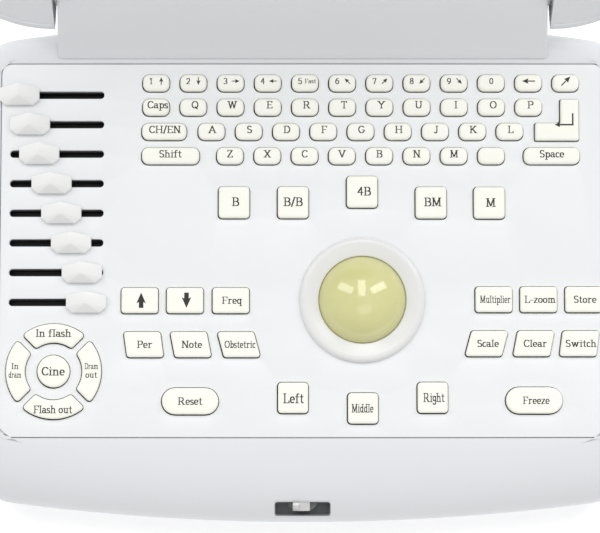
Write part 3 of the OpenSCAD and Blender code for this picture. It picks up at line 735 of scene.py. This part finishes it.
# ---------------------------------------------------------------- neck
def make_neck():
    """Hinge neck: a slope that rises into the barrel, with softly rounded ends."""
    foot, barrel, half = 193.5, 11.5, 125.5
    lean = math.atan2(HINGE_W, HINGE_V - foot) + math.asin(barrel / math.hypot(HINGE_V - foot, HINGE_W))
    first, last = math.pi / 2 + lean, -math.pi / 2
    steps = 26
    arc = [(HINGE_V + barrel * math.cos(a), HINGE_W + barrel * math.sin(a))
           for a in (first + (last - first) * i / steps for i in range(steps + 1))]
    toe = [(foot + 2.2, 0.0), (foot + 0.6, 0.25), (foot + 0.25, 0.8), (foot + 0.8, 1.5)]
    toe += [(foot + (arc[0][0] - foot) * t, arc[0][1] * t) for t in (0.12, 0.35, 0.6, 0.85)]
    section = toe + arc + [(HINGE_V - 7, 0.0)]
    middle = (HINGE_V - 5, 9)
    mesh = bmesh.new()
    rings = []
    ease = 1.6
    stops = [(-1, math.pi / 2 * i / 6) for i in range(7)] + [(1, math.pi / 2 * (1 - i / 6)) for i in range(7)]
    for side, a in stops:
        shrink = ease * (1 - math.sin(a))
        ring = []
        for v, w in section:
            reach = math.hypot(v - middle[0], w - middle[1])
            share = 1 - shrink / max(reach, 4)
            taper = 1.7 * w / (HINGE_W + barrel)
            across = half - taper - ease + ease * math.cos(a)
            if w <= 0:
                share = 1 if a > 1.5 else share
            ring.append(deck(side * across, middle[0] + (v - middle[0]) * share,
                             max(0, middle[1] + (w - middle[1]) * share)))
        rings.append(ring)
    made = loft(mesh, rings)
    for ring in (made[0], made[-1]):
        mesh.faces.new(ring)
    neck = finish(mesh, "neck_shell", CASE, smooth=50)
    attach(neck, "base")
    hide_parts("neck_cover")


# ---------------------------------------------------------------- legends
INK_UNDER, INK_OVER = 0.12, 0.012


def prism(mesh, corners, place, lift=0):
    """A thin printed shape from flat corners about a place on a key top."""
    u, v = place
    low = [mesh.verts.new(deck(u + x, v + y, KEY_TOP - INK_UNDER)) for x, y in corners]
    high = [mesh.verts.new(deck(u + x, v + y, KEY_TOP + INK_OVER + lift)) for x, y in corners]
    join_rings(mesh, low, high)
    mesh.faces.new(low)
    mesh.faces.new(high)


def arrow(mesh, place, turn, length, thick, head):
    """An arrow centred on a place: shaft of one thickness and a solid head."""
    half, back = length / 2, thick / 2
    neck, wing = half - head * 1.1, head * 0.55
    barb = neck - head * 0.15
    shape = [(-half, -back), (neck, -back), (barb, -wing), (half, 0), (barb, wing), (neck, back),
             (-half, back)]
    c, s = math.cos(math.radians(turn)), math.sin(math.radians(turn))
    prism(mesh, [(x * c - y * s, x * s + y * c) for x, y in shape], place)


def enter_arrow(mesh, place):
    """A bent arrow that comes down and points left."""
    corners = [(4, 6), (4, -0.3), (-3, -0.3), (-3, -1.2), (-5.6, 0.1), (-3, 1.4), (-3, 0.5), (3.2, 0.5),
               (3.2, 6)]
    prism(mesh, corners, place)


TURNS = {"up": 90, "down": -90, "right": 0, "left": 180, "up_left": 135, "up_right": 45, "down_left": -135,
         "down_right": -45}

# Letters as pen strokes on a grid: baseline 2, small letters to 6, capitals to 8, tails to 0.
# l is a line with serifs at its ends, p a plain line, e an arc: centre, radii, first and last angle.
GLYPHS = {
    "A": "l0,2,3,8,6,2 p1,4,5,4", "C": "e3.8,5,2.9,3,40,320",
    "D": "l1,2,1,8 p1,8,2.8,8 e2.8,5,3.2,3,90,-90 p1,2,2.8,2",
    "B": "l1,2,1,8 p1,8,3,8 e3,6.55,1.9,1.45,90,-90 p1,5.1,3,5.1 e3.2,3.55,2.2,1.55,90,-90 p1,2,3.2,2",
    "E": "l1,2,1,8 p1,8,5,8,5,7 p1,5,4,5 p1,2,5.2,2,5.2,3", "F": "l1,2,1,8 p1,8,5,8,5,7 p1,5,4,5",
    "G": "e3.8,5,2.9,3,40,340 p6.6,4,6.6,4.6,4.6,4.6", "H": "l1,2,1,8 l6,2,6,8 p1,5,6,5", "I": "l2,2,2,8",
    "J": "l3.4,8,3.4,3.6 e2,3.4,1.4,1.6,0,-150", "K": "l1,2,1,8 l5.6,8,1.2,4.4 l2.6,5.4,6,2",
    "L": "l1,8,1,2 p1,2,5,2,5,3.2", "M": "l1,2,1,8 p1,8,3.8,2.4,6.6,8 l6.6,8,6.6,2",
    "N": "l1,2,1,8 p1,8,5.8,2 l5.8,8,5.8,2", "O": "e3.9,5,3,3,0,360", "Q": "e3.9,5,3,3,0,360 p4,3.2,6.2,1.2",
    "P": "l1,2,1,8 p1,8,3.2,8 e3.2,6.4,2.1,1.6,90,-90 p1,4.8,3.2,4.8",
    "R": "l1,2,1,8 p1,8,3.2,8 e3.2,6.4,2.1,1.6,90,-90 p1,4.8,3.2,4.8 l3.2,4.8,6,2",
    "S": "e3,6.5,1.9,1.5,30,270 e3,3.5,2.1,1.5,90,-150", "T": "l3.2,8,3.2,2 p0.6,7,0.6,8,5.8,8,5.8,7",
    "U": "l1,8,1,4.2 e3.4,4.2,2.4,2.2,180,360 l5.8,8,5.8,4.2", "V": "l0.4,8,3.2,2,6,8",
    "W": "l0.2,8,2.2,2,4,8,5.8,2,7.8,8", "X": "l0.8,8,5.8,2 l5.8,8,0.8,2",
    "Y": "l0.4,8,3.2,5 l6,8,3.2,5 l3.2,5,3.2,2", "Z": "p0.9,7.2,0.9,8,5.4,8,0.8,2,5.6,2,5.6,3",
    "a": "e2.3,4.8,1.5,1.2,150,0 p3.8,4.8,3.8,2.6,4.6,2 e2.2,3.2,1.6,1.1,0,360",
    "b": "l1,8,1,2 e2.6,4,1.6,1.9,0,360", "c": "e2.8,4,1.8,2,50,310",
    "d": "e2.4,4,1.7,1.95,0,360 l4.1,8,4.1,2", "e": "e2.8,4,1.8,2,0,310 p1,4,4.6,4",
    "f": "e3.2,6.9,1.2,1.1,60,180 l2,6.9,2,2 p0.8,6,3.4,6",
    "g": "e2.5,4.3,1.6,1.7,0,360 p4.1,6,4.1,1.4 e2.5,1.4,1.6,1.4,0,-160",
    "h": "l1,8,1,2 e2.6,4.6,1.6,1.4,170,0 l4.2,4.6,4.2,2", "i": "l1.6,6,1.6,2 p1.6,7.4,1.6,7.8",
    "l": "l1.6,8,1.6,2",
    "m": "l1,6,1,2 e2.4,4.6,1.4,1.4,170,0 l3.8,4.6,3.8,2 e5.2,4.6,1.4,1.4,180,0 l6.6,4.6,6.6,2",
    "n": "l1,6,1,2 e2.6,4.6,1.6,1.4,170,0 l4.2,4.6,4.2,2", "o": "e2.8,4,1.9,2,0,360",
    "p": "l1,6,1,0 e2.7,4,1.7,2,0,360", "q": "e2.5,4,1.7,2,0,360 l4.2,6,4.2,0",
    "r": "l1,6,1,2 e2.6,4.6,1.6,1.3,170,50", "s": "e2.2,5,1.3,1,30,270 e2.2,3,1.4,1,90,-150",
    "t": "p2,7.4,2,3.2 e3,3.1,1,1.1,180,300 p0.8,6,3.4,6",
    "u": "l1,6,1,3.4 e2.5,3.3,1.5,1.3,180,360 l4,6,4,2", "w": "l0.4,6,2,2,3.5,6,5,2,6.6,6",
    "z": "p1,6,4.2,6,1,2,4.4,2", "/": "p0.4,1.4,3,8.4", "-": "p0.6,4.2,2.8,4.2", "0": "e3,5,1.9,3,0,360",
    "1": "l3,2,3,8 p3,8,1.6,7", "2": "e2.8,6.2,1.8,1.8,160,-30 p4.4,5.3,1,2,4.8,2",
    "3": "e2.8,6.5,1.7,1.5,150,-90 e2.8,3.5,2,1.5,90,-150", "4": "p3.8,2,3.8,8,0.8,4,5,4",
    "5": "p4.6,8,1.6,8,1.3,5.2 e2.8,3.9,2,1.9,130,-150", "6": "e3,4,1.9,2,0,360 e4.4,4.6,3.3,3.4,95,180",
    "7": "p1,7.2,1,8,4.8,8,2.4,2", "8": "e3,6.6,1.5,1.4,0,360 e3,3.6,1.9,1.6,0,360",
    "9": "e3,6,1.9,2,0,360 e1.6,5.4,3.3,3.4,-85,0",
}
CAP_UNITS, SPACE_UNITS, LETTER_GAP, LINE_UNITS = 6, 2.8, 1.35, 9.4
MIDDLE_UNITS = 5                # height of a line's middle on the grid
WIDEST_LETTER = 0.84            # width of a letter against its height, when there is room
STROKE_STEP = 0.0006            # crossing strokes end at slightly different heights
NIB = Vector((0.58, 0.28))      # half width and half height of the pen


def pen_path(code):
    """Centre-line segments of a glyph."""
    segments = []
    for token in code.split():
        values = [float(value) for value in token[1:].split(",")]
        if token[0] == "e":
            x, y, across, up, first, last = values
            steps = max(4, int(abs(last - first) / 20))
            turns = [math.radians(first + (last - first) * i / steps) for i in range(steps + 1)]
            path = [Vector((x + across * math.cos(turn), y + up * math.sin(turn))) for turn in turns]
        else:
            path = [Vector(pair) for pair in zip(values[::2], values[1::2])]
        segments += list(zip(path, path[1:]))
        if token[0] == "l":
            serif = Vector((0.95, 0))
            segments += [(end - serif, end + serif) for end in (path[0], path[-1]) if end.y in (0, 2, 6, 8)]
    return segments


def write(mesh, words, place, height, widest=99):
    """Letter words about a place; height is that of a capital, and a line break starts a new line."""
    unit = height / CAP_UNITS
    lines = words.split("\n")
    for number, line in enumerate(lines):
        x, strokes = 0, []
        for letter in line:
            if letter == " ":
                x += SPACE_UNITS
                continue
            segments = pen_path(GLYPHS[letter])
            low = min(end.x for segment in segments for end in segment)
            high = max(end.x for segment in segments for end in segment)
            strokes += [(start + Vector((x - low, 0)), end + Vector((x - low, 0))) for start, end in segments]
            x += high - low + LETTER_GAP
        width = x - LETTER_GAP
        squeeze = min(WIDEST_LETTER, widest / (width * unit))
        rise = ((len(lines) - 1) / 2 - number) * LINE_UNITS - MIDDLE_UNITS
        for i, (start, end) in enumerate(strokes):
            corners = [point + Vector((NIB.x * a, NIB.y * b)) for point in (start, end) for a, b in
                       ((-1, -1), (1, -1), (1, 1), (-1, 1))]
            hull = [corners[index] for index in convex_hull_2d(corners)]
            shape = [((point.x - width / 2) * unit * squeeze, (point.y + rise) * unit) for point in hull]
            prism(mesh, shape, place, i % 7 * STROKE_STEP)


# capital height, widest run of words, and their shift from the key's middle, in millimetres
LETTERING = {
    "number_row_keys": (2.9, 5, 0, 0.8), "upper_row_keys": (3.5, 10.2, 0.9, 1.1),
    "home_row_keys": (3.5, 16, 0.4, 0.9), "lower_row_keys": (3.5, 16, 0, 0.9),
    "b_mode_key": (4.1, 12, 0.8, 0.2), "double_b_key": (4.1, 12, 0, 0.2), "four_b_key": (4.1, 12, 1, 0.2),
    "bm_mode_key": (4.1, 12, 0.8, 0.2), "m_mode_key": (4.1, 12, 0.6, 0), "reset_key": (3.5, 11.8, 0, 0),
    "freeze_key": (3.5, 13, 0.8, 0), "left_click_key": (4.6, 9.8, 0.2, -0.3),
    "middle_click_key": (4, 10.6, -0.3, 0), "right_click_key": (4.2, 10.2, 0.5, 0),
    "ring_top_key": (3.6, 17.5, 0, 0), "ring_bottom_key": (3.6, 19, 0, 0),
    "ring_left_key": (2.8, 6.2, 0, 0.4), "ring_right_key": (2.8, 6.6, 0, 0.4),
    "ring_centre_key": (4, 11.6, 0, 0),
}


def label(mesh, node, u, v, words):
    """Print one key's words and arrows."""
    height, widest, right, up = LETTERING.get(node, (3.4, 15.2, 0.6, 0))
    text, _, sign = words.partition("^")
    if sign == "enter":
        enter_arrow(mesh, (u + 4.4, v + 2.2))
    elif sign.startswith("wide_"):
        arrow(mesh, (u, v + up), TURNS[sign[5:]], 6.6, 0.6, 2.6)
    elif sign.startswith("bold_"):
        arrow(mesh, (u + 0.8, v), TURNS[sign[5:]], 7.8, 2.3, 4.4)
    elif sign:
        arrow(mesh, (u + 2.6, v + up), TURNS[sign], 4.0, 0.45, 1.9)
    if text.strip():
        place = (u - 2.6 if sign else u + right, v + up)
        if text == "5":
            write(mesh, "Fast", (u + 2.7, v + up), 2.1, 5.4)
            place = (u - 2.6, v + up)
        write(mesh, text.replace(";", "\n"), place, height, widest)


def make_legends(node, keys):
    """Every printed word and arrow of one node as one piece."""
    mesh = bmesh.new()
    for _, u, v, words in keys:
        label(mesh, node, u, v, words)
    legends = finish(mesh, node + "_legends", INK)
    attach(legends, node)


# ---------------------------------------------------------------- finishes of the remaining nodes
WELD = 0.00001          # points closer than this, in metres, are one


def shade_group():
    """Modifier nodes that weld a mesh and shade it smooth across shallow edges."""
    group = bpy.data.node_groups.new("shade_by_angle", "GeometryNodeTree")
    group.interface.new_socket("Geometry", in_out="INPUT", socket_type="NodeSocketGeometry")
    group.interface.new_socket("Geometry", in_out="OUTPUT", socket_type="NodeSocketGeometry")
    nodes, links = group.nodes, group.links
    source, target = nodes.new("NodeGroupInput"), nodes.new("NodeGroupOutput")
    weld = nodes.new("GeometryNodeMergeByDistance")
    weld.inputs["Distance"].default_value = WELD
    angle, shallow = nodes.new("GeometryNodeInputMeshEdgeAngle"), nodes.new("FunctionNodeCompare")
    shallow.operation = "LESS_THAN"
    shallow.inputs[1].default_value = math.radians(32)
    edges, faces = nodes.new("GeometryNodeSetShadeSmooth"), nodes.new("GeometryNodeSetShadeSmooth")
    edges.domain = "EDGE"
    links.new(source.outputs[0], weld.inputs["Geometry"])
    links.new(weld.outputs["Geometry"], faces.inputs["Geometry"])
    links.new(faces.outputs["Geometry"], edges.inputs["Geometry"])
    links.new(angle.outputs["Unsigned Angle"], shallow.inputs[0])
    links.new(shallow.outputs["Result"], edges.inputs["Shade Smooth"])
    links.new(edges.outputs["Geometry"], target.inputs[0])
    return group


NODE_FINISH = {
    "base_shell": (CASE, "case_plastic", 0.6), "rear_panel": (GREY_COAT, "rear_plate", 0.3),
    "rubber_feet": (RUBBER, "rubber", 0.5), "case_screws": (STEEL, "steel", 0.1),
    # the key board's dark olive also stands for painted shade in the gaps round the keys
    "key_board": (BOARD, "circuit_board", 0), "slide_pots": (BLACK, "black_plastic", 0),
    "main_board": (BOARD, "circuit_board", 0), "power_module": (STEEL, "steel", 0.2),
    "battery_pack": (WRAP, "battery_wrap", 0.5), "trackball_housing": (BLACK, "black_plastic", 0.2),
    "ball_roller": (STEEL, "steel", 0), "probe_sockets": (NICKEL, "nickel", 0.2),
    "signal_ports": (NICKEL, "nickel", 0.1), "power_inlet": (BLACK, "black_plastic", 0.2),
    "power_rocker": (BLACK, "black_plastic", 0.2), "hinge_pins": (STEEL, "steel", 0),
    "latch_catch": (CATCH, "steel", 0.15), "lid_back_cover": (CASE, "case_plastic", 0.5),
    "lid_bezel": (BEZEL, "bezel_plastic", 0.3), "lcd_module": (SCREEN, "screen", 0),
    "lid_hook": (STEEL, "steel", 0.15), "lid_bumpers": (RUBBER, "rubber", 0.3),
}


def finish_nodes():
    """Give each remaining node its material, eased edges and smooth shading."""
    group = shade_group()
    for name, (material, slot, ease) in NODE_FINISH.items():
        node = bpy.data.objects[name]
        node.data.materials.clear()
        node.data.materials.append(material)
        node.modifiers.new("weld", "WELD").merge_threshold = WELD
        if ease:
            bevel = node.modifiers.new("eased_edges", "BEVEL")
            bevel.width, bevel.segments, bevel.limit_method = ease * MM, 2, "ANGLE"
            bevel.angle_limit = math.radians(40)
            bevel.use_clamp_overlap = True
        node.modifiers.new("shading", "NODES").node_group = group


# ---------------------------------------------------------------- build
add_camera()
add_studio()
make_top_cover()
make_latch_pocket()
make_key_panel()
for key_node, key_list in KEYS.items():
    make_keys(key_node, key_list)
    make_legends(key_node, key_list)
for knob_number in range(1, SLOTS + 1):
    make_knob(knob_number)
make_trackball()
make_trackball_ring()
make_neck()
finish_nodes()
